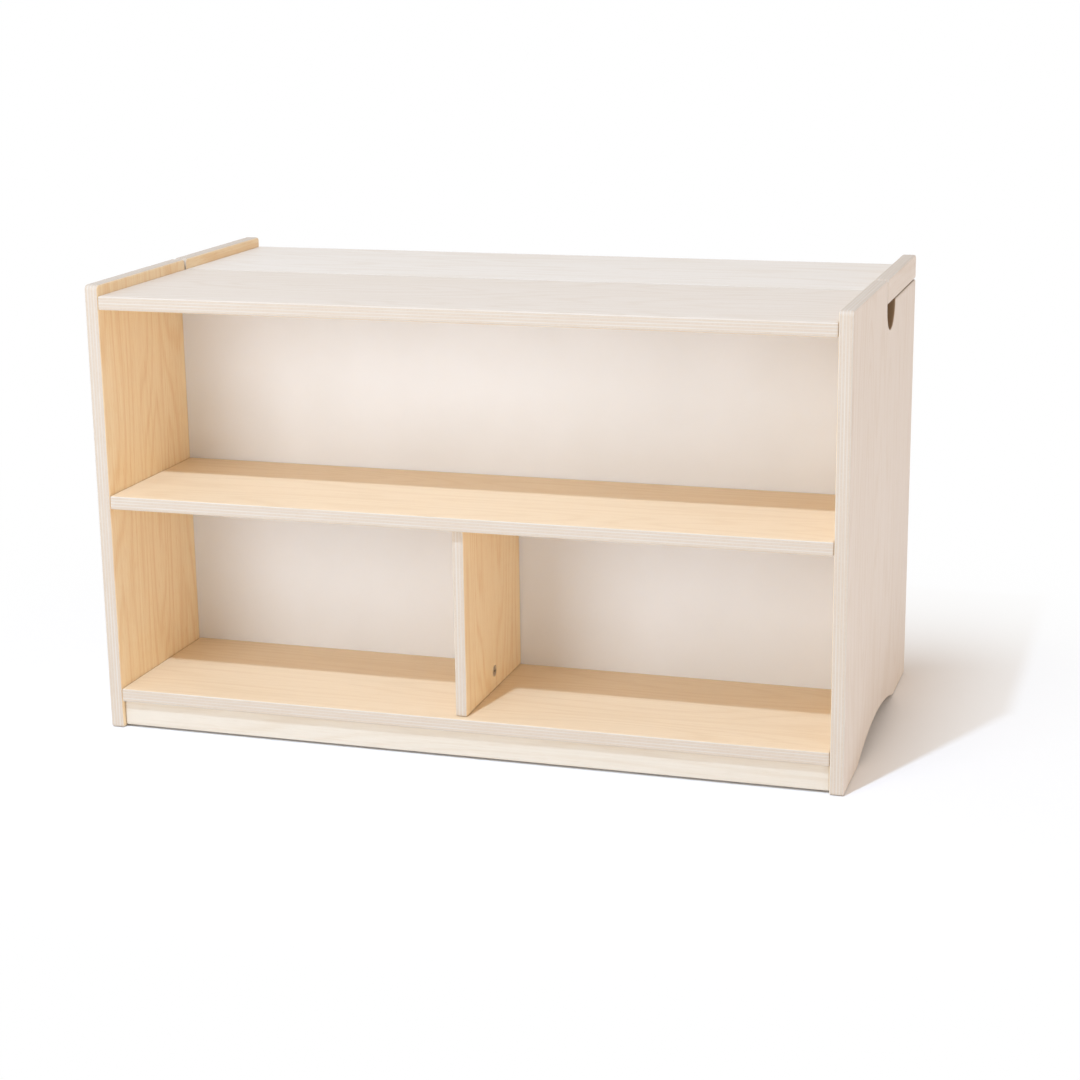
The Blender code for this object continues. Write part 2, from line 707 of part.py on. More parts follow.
def stay_base(side, sign):
    """The plate on the side panel, with the stud that the brake turns on."""
    y, z = stay_point(STAY_BASE_DEGREES)
    outer = INNER - GAP
    inner = outer - STAY_PLATE
    shape = bmesh.new()
    low = (sign * inner, y - BASE_WIDTH / 2, z - BASE_LENGTH / 2)
    add_box(shape, low, (sign * outer, y + BASE_WIDTH / 2, z + BASE_LENGTH / 2))
    base = piece(f"stay_base_{side}", shape, (sign * inner, y, z), NICKEL)
    round_edges(base, METAL_ROUND)
    stud = bmesh.new()
    tip = STAY_X + ROD_RADIUS + STUD_WALL + GAP
    add_rod(stud, "X", STUD_RADIUS, (sign * tip, y, z), (sign * (inner + STAY_PLATE / 2), y, z))
    join(base, "stud", stud)


def lid_stays(axis):
    for side, sign in SIDES:
        stay_bracket(side, sign, axis)
        stay_rod(side, sign, axis)
        stay_brake(side, sign)
        stay_base(side, sign)


def main():
    axis = bpy.data.objects.new("lid_axis", None)
    axis.location = HINGE_AXIS
    PARTS.objects.link(axis)
    case()
    fasteners()
    lid(axis)
    hinges(axis)
    lid_stays(axis)


main()
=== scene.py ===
"""Looks of the toy shelf: plywood, white panel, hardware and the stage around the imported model."""

import math
from typing import NamedTuple

import bmesh
import bpy
from bpy.props import FloatProperty, FloatVectorProperty, PointerProperty
from bpy.types import Operator, Panel, PropertyGroup
from mathutils import Matrix, Vector


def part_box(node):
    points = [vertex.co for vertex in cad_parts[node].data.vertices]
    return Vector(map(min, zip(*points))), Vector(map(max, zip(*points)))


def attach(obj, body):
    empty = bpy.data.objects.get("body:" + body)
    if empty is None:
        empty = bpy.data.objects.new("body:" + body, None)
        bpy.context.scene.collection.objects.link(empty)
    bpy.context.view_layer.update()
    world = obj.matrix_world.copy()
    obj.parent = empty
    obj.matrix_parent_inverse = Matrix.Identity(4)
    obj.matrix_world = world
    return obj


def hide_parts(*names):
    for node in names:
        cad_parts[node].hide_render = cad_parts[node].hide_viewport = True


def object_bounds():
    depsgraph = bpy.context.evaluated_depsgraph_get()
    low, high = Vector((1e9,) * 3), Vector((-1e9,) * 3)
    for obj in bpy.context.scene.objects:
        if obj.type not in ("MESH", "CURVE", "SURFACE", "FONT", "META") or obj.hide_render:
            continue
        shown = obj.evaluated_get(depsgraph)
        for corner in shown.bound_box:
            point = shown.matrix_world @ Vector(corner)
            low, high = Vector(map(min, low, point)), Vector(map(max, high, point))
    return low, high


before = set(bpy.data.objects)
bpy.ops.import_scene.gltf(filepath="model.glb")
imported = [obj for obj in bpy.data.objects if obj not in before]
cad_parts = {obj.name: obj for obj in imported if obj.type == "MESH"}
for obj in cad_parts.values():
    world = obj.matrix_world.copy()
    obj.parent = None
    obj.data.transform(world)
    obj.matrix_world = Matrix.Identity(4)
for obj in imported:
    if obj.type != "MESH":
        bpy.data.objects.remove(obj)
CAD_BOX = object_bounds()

bl_info = {
    "name": "Toy shelf looks",
    "version": (1, 0, 0),
    "blender": (4, 5, 0),
    "location": "3D View > Sidebar > Toy shelf",
    "description": "Finishes, screws and stage for the plywood toy shelf with a hinged lid",
    "category": "Object",
}

X, Y, Z = 0, 1, 2
CAD_MIDDLE = (CAD_BOX[0] + CAD_BOX[1]) / 2
CAD_HALF = (CAD_BOX[1] - CAD_BOX[0]) / 2

# Each plywood board: the axis of its thickness, the axis of its face grain, and the veneers on
# its low and its high face. Veneers on the outside are pale, those on the inner walls are
# honey-coloured, and those that toys stand on lie between the two. The wood is one birch, so
# part of these steps in colour is painted light and shade: the bright light on the outside and
# the warm shade inside.
BOARDS = {
    "left_side_panel": (X, Z, "side", "inner"),
    "right_side_panel": (X, Z, "inner", "side"),
    "top_panel": (Z, X, "inner", "top"),
    "middle_shelf": (Z, X, "inner", "shelf"),
    "bottom_panel": (Z, X, "inner", "shelf"),
    "shelf_divider": (X, Z, "inner", "inner"),
    "front_kickboard": (Y, X, "front", "inner"),
    "back_panel": (Y, X, "inner", "side"),
    "lid_panel": (Z, X, "inner", "lid"),
    "lid_end_left": (X, Y, "side", "inner"),
    "lid_end_right": (X, Y, "inner", "side"),
}
HINGES = ("left", "middle", "right")
SIDES = (("left", -1), ("right", 1))

# The finger notches in the side panels are half rounds in the ledge behind the top panel. A dark
# brown colour on their walls paints the shade inside the notch, and reaches a little past the cut.
NOTCHED = ("left_side_panel", "right_side_panel")
NOTCH_RADIUS = 0.034
NOTCH_SHADE_REACH = 0.003
NOTCH_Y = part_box("top_panel")[1][Y] + NOTCH_RADIUS
NOTCH_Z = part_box("back_panel")[1][Z]

# Turned heads and sinks have a number of sides and a profile in pairs of radius and height over
# the seat. A cross recess has a reach, a half width and a depth.
TURNED_SIDES = 24
HINGE_SCREW = (
    (0.0004, -0.010), (0.0011, -0.008), (0.0011, -0.0013), (0.0023, -0.0001), (0.0022, 0.0),
)
HINGE_RECESS = (0.0014, 0.00035, 0.0009)
HINGE_SINK = ((0.0013, -0.003), (0.0013, -0.0012), (0.0025, 0.0), (0.0026, 0.0001))
PAN_SCREW = ((0.0028, -0.0003), (0.0028, 0.0006), (0.0025, 0.0012), (0.0018, 0.0015))
PAN_RECESS = (0.0016, 0.0004, 0.0009)

# Hinge screws sit in a row along each leaf, in front of the back panel's rear face. The seats are
# the heights of the two sides that meet when the lid is shut: the fixed leaf's upper side, which
# faces up, and the lid leaf's lower side, which faces down.
HINGE_SCREW_STEP = 0.022
LEAF_INSET = 0.0075
LEAF_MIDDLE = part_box("back_panel")[1][Y] - LEAF_INSET
LEAF_SEAT = {1: 0.56385, -1: 0.56415}

# Lid stays: thickness of the base plate and of the bracket's sheet, how far the pan heads lie from
# the middle of each, and how far the bracket's flange lies from the middle of the shelf
BASE_PLATE = 0.003
BASE_SCREW_STEP = 0.0185
BRACKET_SHEET = 0.002
BRACKET_SCREW_STEP = 0.012
FLANGE_MIDDLE = 0.4641

# Cam locks: a softened rim, a cross recess and a round mark on the side away from the bolt. A corner
# belongs to the rim if it lies near the outer face and past a share of the radius.
CAM_RIM = 0.0007
CAM_RIM_SEGMENTS = 2
CAM_RIM_ROUNDNESS = 0.5
CAM_RECESS = (0.0038, 0.00065, 0.003)
CAM_MARK_PLACE = 0.0056
CAM_MARK = ((0.0004, -0.0009), (0.0008, -0.0005), (0.0008, 0.0005))
CAM_NEAR = 0.00002
CAM_RIM_SHARE = 0.95

# Steps between the grain patterns of one board and the next, and of one ply and the next
BOARD_STEP = 1.37
PLY_STEP = 3.71

# Noise swings about its midway value, and has this detail and roughness unless a pattern has its own
MIDWAY = 0.5
SOFT_DETAIL = 2
SOFT_ROUGHNESS = 0.5


class Pattern(NamedTuple):
    """A pattern in the wood, in repeats per metre across and along the grain."""

    across: float
    along: float
    layer: float
    detail: float
    roughness: float
    weight: float


# What the grain is made of. Layers keep two patterns apart, and a weight is a pattern's share in
# the darkness of the grain.
FLAME = Pattern(across=8, along=0.9, layer=0, detail=2, roughness=0.45, weight=0.42)
STREAK = Pattern(across=340, along=3.4, layer=3, detail=4, roughness=0.6, weight=1.25)
FIBRE = Pattern(across=520, along=8, layer=0, detail=3, roughness=0.6, weight=1.0)
CLOUD = Pattern(across=5, along=1.5, layer=7, detail=2, roughness=0.5, weight=0.6)
FLECK = Pattern(across=850, along=45, layer=0, detail=2, roughness=0.5, weight=0.4)


class Value:
    """A number that varies over a surface; arithmetic on it adds Math nodes to its finish."""

    def __init__(self, finish, socket):
        self.finish = finish
        self.socket = socket

    def math(self, operation, *values):
        """A Math node on some values."""
        sockets = dict(enumerate(values))
        return self.finish.node("Math", {"operation": operation}, sockets)

    def __add__(self, other):
        return self.math("ADD", self, other)

    def __radd__(self, other):
        return self.math("ADD", other, self)

    def __sub__(self, other):
        return self.math("SUBTRACT", self, other)

    def __rsub__(self, other):
        return self.math("SUBTRACT", other, self)

    def __mul__(self, other):
        return self.math("MULTIPLY", self, other)

    def __rmul__(self, other):
        return self.math("MULTIPLY", other, self)

    def __mod__(self, other):
        return self.math("MODULO", self, other)

    def __rmod__(self, other):
        return self.math("MODULO", other, self)

    def __pow__(self, other):
        return self.math("POWER", self, other)

    def __rpow__(self, other):
        return self.math("POWER", other, self)

    def __gt__(self, other):
        return self.math("GREATER_THAN", self, other)

    def __lt__(self, other):
        return self.math("LESS_THAN", self, other)

    def __abs__(self):
        return self.math("ABSOLUTE", self)

    def rounded(self):
        """The nearest whole number."""
        return self.math("ROUND", self)

    def sine(self):
        """The sine of an angle."""
        return self.math("SINE", self)

    def smooth(self, low, high):
        """0 below low, 1 above high, with a smooth rise between them."""
        settings = {"interpolation_type": "SMOOTHSTEP"}
        return self.finish.node("MapRange", settings, {"Value": self, 1: low, 2: high})


class Finish:
    """A node tree under construction, for a material or the world."""

    def __init__(self, tree):
        self.tree = tree
        tree.nodes.clear()

    def node(self, kind, settings=None, sockets=None, output=0):
        """Adds a node: its settings first, then the values or links of its sockets."""
        node = self.tree.nodes.new(f"ShaderNode{kind}")
        for key, value in (settings or {}).items():
            setattr(node, key, value)
        for key, value in (sockets or {}).items():
            if isinstance(value, Value):
                self.tree.links.new(value.socket, node.inputs[key])
            else:
                node.inputs[key].default_value = value
        return Value(self, node.outputs[output]) if node.outputs else None

    def places(self, kind="Object"):
        """A point's three coordinates in the object's own frame, in metres, or its normal's."""
        point = self.node("TexCoord", output=kind)
        split = self.node("SeparateXYZ", sockets={0: point})
        return [Value(self, socket) for socket in split.socket.node.outputs]

    def vector(self, x, y, z):
        """A vector of three values."""
        return self.node("CombineXYZ", sockets={0: x, 1: y, 2: z})

    def noise(self, place, detail=SOFT_DETAIL, roughness=SOFT_ROUGHNESS):
        """Noise between 0 and 1, with one repeat per unit of the place."""
        sockets = {"Vector": place, "Scale": 1.0, "Detail": detail, "Roughness": roughness}
        return self.node("TexNoise", sockets=sockets)

    def speckle(self, scales, detail=SOFT_DETAIL, roughness=SOFT_ROUGHNESS):
        """Noise with a number of repeats per metre along each axis."""
        place = self.vector(*[place * scale for place, scale in zip(self.places(), scales)])
        return self.noise(place, detail, roughness)

    def mix(self, share, first, second):
        """Blends two colours, through the Mix node's colour sockets."""
        return self.node("Mix", {"data_type": "RGBA"}, {0: share, 6: first, 7: second}, output=2)

    def bump(self, height, depth):
        """A normal tilted by a height between 0 and 1 of some depth in metres."""
        return self.node("Bump", sockets={"Height": height, "Distance": depth, "Strength": 1.0})

    def surface(self, sockets):
        """Ends a material's tree with its shader."""
        shader = self.node("BsdfPrincipled", sockets=sockets)
        self.node("OutputMaterial", sockets={"Surface": shader})


def new_finish(name):
    """An empty material, and its node tree."""
    material = bpy.data.materials.new(name)
    material.use_nodes = True
    return material, Finish(material.node_tree)


def opaque(colour):
    """A colour with full alpha, as the sockets take it."""
    return (*colour, 1.0)


def dress(nodes, material):
    """Gives CAD nodes a finish through their own material slots."""
    for name in nodes:
        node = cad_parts[name]
        if not node.material_slots:
            node.data.materials.append(material)
        for slot in node.material_slots:
            slot.material = material


def tinted(colour, shade):
    """A colour of which the shade keeps a share in red, green and blue."""
    return tuple(c * s for c, s in zip(colour, shade))


def length(x, y):
    """Length of a line from its parts along two axes."""
    return (x * x + y * y) ** 0.5


def linked(name, data):
    """An object in the scene's own collection."""
    obj = bpy.data.objects.new(name, data)
    bpy.context.scene.collection.objects.link(obj)
    return obj


def mesh_of(name, shape):
    """A mesh of a shape, which is used up."""
    mesh = bpy.data.meshes.new(name)
    shape.to_mesh(mesh)
    shape.free()
    return mesh


def solid_of(name, shape):
    """A mesh of a closed shape, with its faces turned outward."""
    bmesh.ops.recalc_face_normals(shape, faces=shape.faces)
    return mesh_of(name, shape)


def carved(name, mesh, cutter):
    """A piece made of a mesh that a cutter's solids are taken out of."""
    piece = linked(name, mesh)
    tool = linked(f"{name}_cutter", solid_of(f"{name}_cutter", cutter))
    cut = piece.modifiers.new("cut", "BOOLEAN")
    cut.solver = "EXACT"
    cut.object = tool
    bpy.context.view_layer.update()
    solid = piece.evaluated_get(bpy.context.evaluated_depsgraph_get())
    result = bpy.data.meshes.new_from_object(solid)
    if not result.polygons:
        raise RuntimeError(f"nothing is left of {name} after the cut")
    piece.modifiers.clear()
    piece.data = result
    bpy.data.objects.remove(tool)
    return piece


def spot_of(place, outward, mark):
    """A frame at a place: its Z points outward, and its X to the mark."""
    side = outward.cross(mark)
    axes = Matrix((mark, side, outward)).transposed().to_4x4()
    return Matrix.Translation(place) @ axes


def join_rings(shape, rings):
    """Walls between rings of corners, and a cap on the first and the last ring."""
    for low, high in zip(rings, rings[1:]):
        for i, corner in enumerate(low):
            j = (i + 1) % len(low)
            shape.faces.new((corner, low[j], high[j], high[i]))
    shape.faces.new(rings[0])
    shape.faces.new(rings[-1])


def add_turned(shape, spot, profile):
    """A turned solid from pairs of radius and height about the Z of a spot."""
    rings = []
    for radius, height in profile:
        corners = []
        for i in range(TURNED_SIDES):
            angle = 2 * math.pi * i / TURNED_SIDES
            corner = Vector((radius * math.cos(angle), radius * math.sin(angle), height))
            corners.append(shape.verts.new(spot @ corner))
        rings.append(corners)
    join_rings(shape, rings)


def add_cross(shape, spot, reach, half, floor, top):
    """A prism with the outline of a cross, which cuts a driver's recess."""
    quarter = [(reach, -half), (reach, half), (half, half)]
    outline = []
    for _ in range(4):
        outline += quarter
        quarter = [(-y, x) for x, y in quarter]
    rings = []
    for height in (floor, top):
        rings.append([shape.verts.new(spot @ Vector((x, y, height))) for x, y in outline])
    join_rings(shape, rings)


def fitted(piece, body, material):
    """Puts a piece on its body, with its finish."""
    piece.data.materials.clear()
    piece.data.materials.append(material)
    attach(piece, body)


def screws(name, body, spots, profile, recess, material):
    """Screw heads at several spots, each with a cross recess."""
    heads, recesses = bmesh.new(), bmesh.new()
    reach, half, depth = recess
    top = profile[-1][1]
    for spot in spots:
        add_turned(heads, spot, profile)
        add_cross(recesses, spot, reach, half, top - depth, top + depth)
    piece = carved(name, solid_of(name, heads), recesses)
    fitted(piece, body, material)


class BirchSettings(PropertyGroup):
    """Colours and sizes of the plywood."""

    # The veneer colours below differ from face to face partly as painted light and shade: pale where
    # light falls on the outside, honey-coloured where warm shade lies inside.
    top: FloatVectorProperty(
        name="Top veneer", description="Face veneer on the top panel",
        subtype="COLOR", size=3, min=0, max=1, default=(0.70, 0.617, 0.53),
    )
    front: FloatVectorProperty(
        name="Front veneer", description="Face veneer on the kickboard",
        subtype="COLOR", size=3, min=0, max=1, default=(0.68, 0.613, 0.522),
    )
    lid: FloatVectorProperty(
        name="Lid veneer", description="Face veneer on the lid",
        subtype="COLOR", size=3, min=0, max=1, default=(0.755, 0.692, 0.617),
    )
    side: FloatVectorProperty(
        name="Side veneer", description="Face veneer on the outside of the side panels and the back",
        subtype="COLOR", size=3, min=0, max=1, default=(0.82, 0.719, 0.628),
    )
    inner: FloatVectorProperty(
        name="Inner veneer", description="Face veneer on the walls inside the shelves and the well",
        subtype="COLOR", size=3, min=0, max=1, default=(0.97, 0.762, 0.487),
    )
    shelf: FloatVectorProperty(
        name="Shelf veneer", description="Face veneer that toys stand on, in the shelves and the well",
        subtype="COLOR", size=3, min=0, max=1, default=(0.845, 0.676, 0.472),
    )
    pale_ply: FloatVectorProperty(
        name="Pale ply", description="Plies that show long grain on a board's edge",
        subtype="COLOR", size=3, min=0, max=1, default=(0.622, 0.564, 0.497),
    )
    dark_ply: FloatVectorProperty(
        name="Dark ply", description="Cross plies that show end grain on a board's edge",
        subtype="COLOR", size=3, min=0, max=1, default=(0.598, 0.508, 0.41),
    )
    glue: FloatVectorProperty(
        name="Glue line", description="Thin dark lines between the plies",
        subtype="COLOR", size=3, min=0, max=1, default=(0.44, 0.372, 0.34),
    )
    # Painted shade on the walls of the finger notches: dark brown where the notch lies in shade
    notch_painted_shade: FloatVectorProperty(
        name="Routed wood", description="Walls of the finger notches, browned by the cutter",
        subtype="COLOR", size=3, min=0, max=1, default=(0.30, 0.19, 0.10),
    )
    grain_shade: FloatVectorProperty(
        name="Grain shade", description="How much of each colour the inner veneer's dark grain keeps",
        subtype="COLOR", size=3, min=0, max=1, default=(0.885, 0.76, 0.62),
    )
    pale_shade: FloatVectorProperty(
        name="Pale grain shade", description="The same on the other veneers, where the grain is faint",
        subtype="COLOR", size=3, min=0, max=1, default=(0.92, 0.88, 0.83),
    )
    ply: FloatProperty(
        name="Ply", description="Thickness of one ply",
        unit="LENGTH", min=0.0005, default=0.002,
    )
    rings: FloatProperty(
        name="Growth rings", description="Number of growth rings in one flame of the veneer",
        min=1, default=22,
    )
    roughness: FloatProperty(
        name="Roughness", description="Roughness of the satin lacquer",
        subtype="FACTOR", min=0, max=1, default=0.48,
    )
    relief: FloatProperty(
        name="Relief", description="Depth of the grain under the lacquer",
        unit="LENGTH", min=0, default=0.00006,
    )


class HardwareSettings(PropertyGroup):
    """Colours of the white panel, the metal, the brakes and the felt."""

    panel: FloatVectorProperty(
        name="White panel", description="Face of the panel behind the shelves",
        subtype="COLOR", size=3, min=0, max=1, default=(0.825, 0.846, 0.89),
    )
    nickel: FloatVectorProperty(
        name="Nickel", description="Plating of hinges and lid stays",
        subtype="COLOR", size=3, min=0, max=1, default=(0.72, 0.69, 0.64),
    )
    zinc: FloatVectorProperty(
        name="Zinc", description="Cam locks and their bolts",
        subtype="COLOR", size=3, min=0, max=1, default=(0.76, 0.72, 0.67),
    )
    brake: FloatVectorProperty(
        name="Brake", description="Moulded block of the lid stay",
        subtype="COLOR", size=3, min=0, max=1, default=(0.06, 0.06, 0.065),
    )
    felt: FloatVectorProperty(
        name="Felt", description="Bumper dots under the lid's end strips",
        subtype="COLOR", size=3, min=0, max=1, default=(0.55, 0.50, 0.44),
    )


class StageSettings(PropertyGroup):
    """Camera, floor and lamps."""

    floor: FloatVectorProperty(
        name="Floor", description="Colour of the floor",
        subtype="COLOR", size=3, min=0, max=1, default=(0.925, 0.92, 0.915),
    )
    floor_size: FloatProperty(
        name="Floor size", description="Half the side of the floor",
        unit="LENGTH", min=1, default=60,
    )
    floor_fade: FloatProperty(
        name="Floor fade", description="Distance from the shelf over which the floor turns white",
        unit="LENGTH", min=0.01, default=0.185,
    )
    ambient: FloatProperty(
        name="Ambient", description="Strength of the light from all around",
        min=0, default=0.69,
    )
    ambient_tint: FloatVectorProperty(
        name="Ambient tint", description="Colour of the light from all around",
        subtype="COLOR", size=3, min=0, max=1, default=(1.0, 0.875, 0.78),
    )
    key_place: FloatVectorProperty(
        name="Key lamp", description="Place of the key lamp, in front, to the left and above",
        subtype="TRANSLATION", unit="LENGTH", size=3, default=(-0.40, -2.28, 3.88),
    )
    key_power: FloatProperty(
        name="Key power", description="Power of the key lamp",
        unit="POWER", min=0, default=120,
    )
    key_tint: FloatVectorProperty(
        name="Key tint", description="Colour of the key lamp",
        subtype="COLOR", size=3, min=0, max=1, default=(0.57, 0.76, 1.0),
    )
    key_size: FloatProperty(
        name="Key size", description="Diameter of the key lamp",
        unit="LENGTH", min=0.01, default=0.15,
    )
    fill_place: FloatVectorProperty(
        name="Fill lamp", description="Place of the soft lamp in front of the shelves",
        subtype="TRANSLATION", unit="LENGTH", size=3, default=(-1.7, -3.9, 1.4),
    )
    fill_power: FloatProperty(
        name="Fill power", description="Power of the soft lamp",
        unit="POWER", min=0, default=60,
    )
    fill_tint: FloatVectorProperty(
        name="Fill tint", description="Colour of the soft lamp",
        subtype="COLOR", size=3, min=0, max=1, default=(0.94, 0.98, 1.0),
    )
    fill_size: FloatProperty(
        name="Fill size", description="Side of the soft lamp",
        unit="LENGTH", min=0.01, default=2.0,
    )
    side_place: FloatVectorProperty(
        name="Side lamp", description="Place of the weak soft lamp on the right",
        subtype="TRANSLATION", unit="LENGTH", size=3, default=(3.6, -2.4, 0.6),
    )
    side_power: FloatProperty(
        name="Side power", description="Power of the lamp on the right",
        unit="POWER", min=0, default=15,
    )
    side_tint: FloatVectorProperty(
        name="Side tint", description="Colour of the lamp on the right",
        subtype="COLOR", size=3, min=0, max=1, default=(1.0, 0.94, 0.89),
    )
    side_size: FloatProperty(
        name="Side size", description="Side of the lamp on the right",
        unit="LENGTH", min=0.01, default=1.1,
    )
    camera_place: FloatVectorProperty(
        name="Camera", description="Place of the camera",
        subtype="TRANSLATION", unit="LENGTH", size=3, default=(0.9152, -2.8357, 1.0066),
    )
    azimuth: FloatProperty(
        name="Azimuth", description="How far the camera turns from the front to the right",
        subtype="ANGLE", default=0.302,
    )
    elevation: FloatProperty(
        name="Elevation", description="How far the camera looks down",
        subtype="ANGLE", default=0.2562,
    )
    roll: FloatProperty(
        name="Roll", description="Turn of the camera about its own axis",
        subtype="ANGLE", default=-0.013,
    )
    lens: FloatProperty(
        name="Lens", description="Focal length of the camera, in millimetres",
        unit="CAMERA", min=1, default=75.33,
    )


# Plywood: where a normal turns from edge to face, where in a ply the seam begins and ends, and the
# shares of glue in the seams and of dark fibres in the edges. The ply fit lies just under 1, so that
# a board's faces still count to its outer plies.
FACE_RANGE = (0.80, 0.97)
PLY_FIT = 0.999
SEAM_RANGE = (0.34, 0.48)
GLUE_SHARE = 0.5
EDGE_FIBRE_RANGE = (0.25, 0.75)
EDGE_FIBRE_SHARE = 0.35

# Grain: how narrow the growth rings are, where a fleck starts, and how the sum of all patterns
# turns into light and dark. Roughness and relief follow some of the patterns.
RING_NARROWING = 3
FLECK_RANGE = (0.56, 0.68)
TONE_BASE = 0.12
TONE_RANGE = (-0.15, 1.15)
FIBRE_ROUGHNESS = 0.12
EDGE_ROUGHNESS = 0.1
FIBRE_RELIEF = 0.6
RING_RELIEF = 0.2
STREAK_RELIEF = 0.2
SEAM_RELIEF = 0.3


def veneer_colours(settings, veneer):
    """A veneer's colour between the lines of its grain, and in them."""
    colour = getattr(settings, veneer)
    shade = settings.grain_shade if veneer == "inner" else settings.pale_shade
    return opaque(colour), opaque(tinted(colour, shade))


def notch_shade_mask(places):
    """1 on the walls of a finger notch, where its shade is painted, and 0 elsewhere."""
    away = length(places[Y] - NOTCH_Y, places[Z] - NOTCH_Z)
    return (away < NOTCH_RADIUS + NOTCH_SHADE_REACH) * (places[Z] < NOTCH_Z)


def birch(settings, index, name):
    """Plywood through and through: veneers on its faces, stripes of plies on its edges."""
    thickness, grain, low_veneer, high_veneer = BOARDS[name]
    width = X + Y + Z - thickness - grain
    low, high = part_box(name)
    middle = (low[thickness] + high[thickness]) / 2
    board = high[thickness] - low[thickness]
    plies = 2 * round((board / settings.ply - 1) / 2) + 1
    ply = board / plies
    last = (plies - 1) // 2

    material, finish = new_finish(f"birch_{name}")
    places = finish.places()
    face = abs(finish.places("Normal")[thickness]).smooth(*FACE_RANGE)
    edge = 1 - face
    depth = places[thickness] - middle

    # Plies are counted from the middle, and every second one from the face lies crosswise
    level = depth * (PLY_FIT / ply)
    layer = level.rounded()
    cross = (last - abs(layer)) % 2
    seam = abs(level - layer).smooth(*SEAM_RANGE)
    sheet = layer * PLY_STEP + index * BOARD_STEP

    # In a cross ply the grain runs along the board's other axis
    along = places[grain] + index * BOARD_STEP
    across = places[width] + index * BOARD_STEP
    turn = (along - across) * cross
    along = along - turn
    across = across + turn

    def figure(pattern):
        """A pattern that follows this board's grain."""
        place = finish.vector(across * pattern.across, along * pattern.along, sheet + pattern.layer)
        return finish.noise(place, pattern.detail, pattern.roughness)

    # Waves over the flames draw the growth rings, which are darkest at the crests
    wave = (figure(FLAME) * (settings.rings * 2 * math.pi)).sine()
    ring = (wave * 0.5 + 0.5) ** RING_NARROWING
    streak = figure(STREAK)
    fibre = figure(FIBRE)
    cloud = figure(CLOUD)
    fleck = figure(FLECK).smooth(*FLECK_RANGE)
    tone = ring * FLAME.weight + fleck * FLECK.weight + TONE_BASE
    for pattern, noise in ((STREAK, streak), (FIBRE, fibre), (CLOUD, cloud)):
        tone = tone + (noise - MIDWAY) * pattern.weight

    # Each face takes the colour of its own veneer, which paints part of the light or shade on that face.
    low_light, low_dark = veneer_colours(settings, low_veneer)
    high_light, high_dark = veneer_colours(settings, high_veneer)
    light = finish.mix(depth > 0, low_light, high_light)
    dark = finish.mix(depth > 0, low_dark, high_dark)
    veneer = finish.mix(tone.smooth(*TONE_RANGE), light, dark)

    end_grain = opaque(tinted(settings.dark_ply, settings.grain_shade))
    stripes = finish.mix(cross, opaque(settings.pale_ply), opaque(settings.dark_ply))
    stripes = finish.mix(fibre.smooth(*EDGE_FIBRE_RANGE) * EDGE_FIBRE_SHARE, stripes, end_grain)
    stripes = finish.mix(seam * GLUE_SHARE, stripes, opaque(settings.glue))
    # Painted shade: the walls of the finger notches turn dark brown
    if name in NOTCHED:
        stripes = finish.mix(notch_shade_mask(places), stripes, opaque(settings.notch_painted_shade))

    roughness = settings.roughness + (fibre - MIDWAY) * FIBRE_ROUGHNESS + edge * EDGE_ROUGHNESS
    height = fibre * FIBRE_RELIEF + ring * RING_RELIEF + streak * STREAK_RELIEF
    finish.surface({
        "Base Color": finish.mix(face, stripes, veneer),
        "Roughness": roughness,
        "Normal": finish.bump(height - edge * seam * SEAM_RELIEF, settings.relief),
    })
    return material


# White panel: a faint mottle, wide in the panel's own plane, over fine pores
MOTTLE_SCALES = (6, 1, 6)
MOTTLE_DETAIL = 3
MOTTLE_RANGE = (0.3, 0.7)
MOTTLE_SHADE = (0.965, 0.96, 0.95)
PORE_SCALES = (900, 900, 900)
PANEL_ROUGHNESS = 0.36
PORE_ROUGHNESS = 0.1
PORE_RELIEF = 0.00003


def white_panel(settings):
    """A satin white face with a faint mottle."""
    material, finish = new_finish("white_panel_satin")
    mottle = finish.speckle(MOTTLE_SCALES, MOTTLE_DETAIL)
    pores = finish.speckle(PORE_SCALES)
    shade = opaque(tinted(settings.panel, MOTTLE_SHADE))
    finish.surface({
        "Base Color": finish.mix(mottle.smooth(*MOTTLE_RANGE), opaque(settings.panel), shade),
        "Roughness": PANEL_ROUGHNESS + pores * PORE_ROUGHNESS,
        "Normal": finish.bump(pores, PORE_RELIEF),
    })
    return material


# Plated metal: brush lines, which are long along one axis, and wider stains, which dull it
BRUSH_SCALE = 1400
BRUSH_LONG_SCALE = 60
BRUSH_DETAIL = 3
BRUSH_BREAKS = 0.6
STAIN_SCALES = (90, 90, 90)
BRUSH_WEAR = 0.7
STAIN_WEAR = 0.8
WEAR_RANGE = (0.1, 0.9)
DULL_SHADE = (0.78, 0.77, 0.74)
WEAR_ROUGHNESS = 0.25
BRUSH_RELIEF = 0.00002
HINGE_ROUGHNESS = 0.28
STAY_ROUGHNESS = 0.25
CAM_ROUGHNESS = 0.34


def plated(name, colour, direction, roughness):
    """Plated metal with fine brushing along one axis."""
    material, finish = new_finish(name)
    scales = [BRUSH_LONG_SCALE if axis == direction else BRUSH_SCALE for axis in (X, Y, Z)]
    brushed = finish.speckle(scales, BRUSH_DETAIL, BRUSH_BREAKS)
    stain = finish.speckle(STAIN_SCALES)
    wear = (brushed - MIDWAY) * BRUSH_WEAR + (stain - MIDWAY) * STAIN_WEAR + MIDWAY
    dull = opaque(tinted(colour, DULL_SHADE))
    finish.surface({
        "Base Color": finish.mix(wear.smooth(*WEAR_RANGE), opaque(colour), dull),
        "Metallic": 1.0,
        "Roughness": roughness + (wear - MIDWAY) * WEAR_ROUGHNESS,
        "Normal": finish.bump(brushed, BRUSH_RELIEF),
    })
    return material


